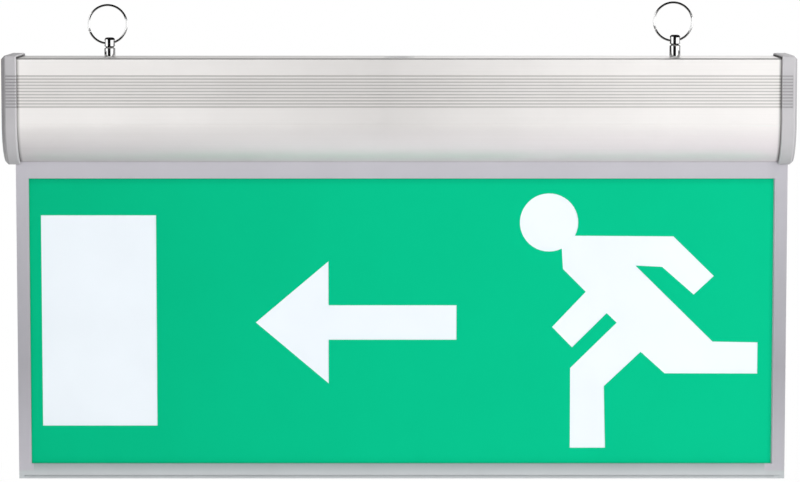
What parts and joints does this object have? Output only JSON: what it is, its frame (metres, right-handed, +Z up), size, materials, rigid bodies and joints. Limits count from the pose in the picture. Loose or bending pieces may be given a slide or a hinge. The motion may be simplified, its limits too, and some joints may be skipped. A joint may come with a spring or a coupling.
{
  "type": "emergency exit light",
  "caption": "Double-sided hanging emergency exit light: ribbed aluminium housing on two eye bolts with rings, over an edge-lit framed sign panel.",
  "frame": {"origin": "centre of the supply cable's entry, in the plane of the housing's flat top face", "axes": "+X along the housing to the end with the test button, -Y out of the front sign face, +Z up"},
  "size_m": [0.36, 0.0366, 0.2195],
  "materials": {
    "battery_sleeve": "shrink sleeve",
    "black_sleeve": "sleeved can",
    "brass": "turned",
    "button_red": "moulded",
    "cap_plastic": "moulded silver-grey plastic, satin",
    "chrome": "bright chrome plated",
    "circuit_board": "solder mask",
    "clear_acrylic": "polished clear acrylic",
    "dark_ferrite": "ferrite core",
    "frame_aluminium": "satin anodised",
    "grommet_rubber": "soft dark grey",
    "housing_aluminium": "satin anodised, fine lengthwise extrusion lines",
    "lamp_green": "clear light pipe",
    "led_yellow": "phosphor lamp chip",
    "legend_green": "printed safety green film",
    "opal_acrylic": "white opal acrylic",
    "plain_aluminium": "mill finish",
    "spring_steel": "blued spring sheet",
    "white_board": "white solder mask",
    "white_plastic": "moulded nylon",
    "zinc_steel": "bright zinc plated"
  },
  "bodies": {
    "fixture": {"battery_clips": "spring_steel", "battery_pack": "battery_sleeve", "board_screws": "zinc_steel", "board_standoffs": "white_plastic", "cable_grommet": "grommet_rubber", "charge_indicator": "lamp_green", "corner_keys": "plain_aluminium", "diffuser_front": "opal_acrylic", "diffuser_rear": "opal_acrylic", "driver_board": "circuit_board", "driver_capacitors": "black_sleeve", "driver_choke": "dark_ferrite", "driver_plug_sockets": "white_plastic", "driver_transformer": "dark_ferrite", "end_cap_left": "cap_plastic", "end_cap_right": "cap_plastic", "end_cap_screws": "zinc_steel", "eye_bolt_left": "chrome", "eye_bolt_nuts": "zinc_steel", "eye_bolt_right": "chrome", "eye_bolt_washers": "zinc_steel", "frame_bar_bottom": "frame_aluminium", "frame_bar_left": "frame_aluminium", "frame_bar_right": "frame_aluminium", "frame_bar_top": "frame_aluminium", "gear_tray": "zinc_steel", "housing_extrusion": "housing_aluminium", "indicator_board": "circuit_board", "indicator_board_screws": "zinc_steel", "indicator_led": "led_yellow", "led_chips": "led_yellow", "led_strip_board": "white_board", "legend_film_front": "legend_green", "legend_film_rear": "legend_green", "light_guide": "clear_acrylic", "terminal_block": "white_plastic", "terminal_screws": "brass", "test_switch": "black_sleeve"},
    "left_ring": {"ring_left": "chrome"},
    "right_ring": {"ring_right": "chrome"},
    "test_button": {"test_button": "button_red"}
  },
  "joints": [
    {"name": "ring_left_swing", "type": "hinge", "parent": "fixture", "child": "left_ring", "pos_m": [-0.1322, 0, 0.0066], "axis": [1, 0, 0], "range_deg": [-105, 105]},
    {"name": "ring_right_swing", "type": "hinge", "parent": "fixture", "child": "right_ring", "pos_m": [0.126, 0, 0.0078], "axis": [1, 0, 0], "range_deg": [-105, 105]},
    {"name": "test_button_press", "type": "slide", "parent": "fixture", "child": "test_button", "axis": [-1, 0, 0], "range_m": [0, 0.001], "stiffness_N_per_m": 1500, "springref_m": -0.0005}
  ]
}
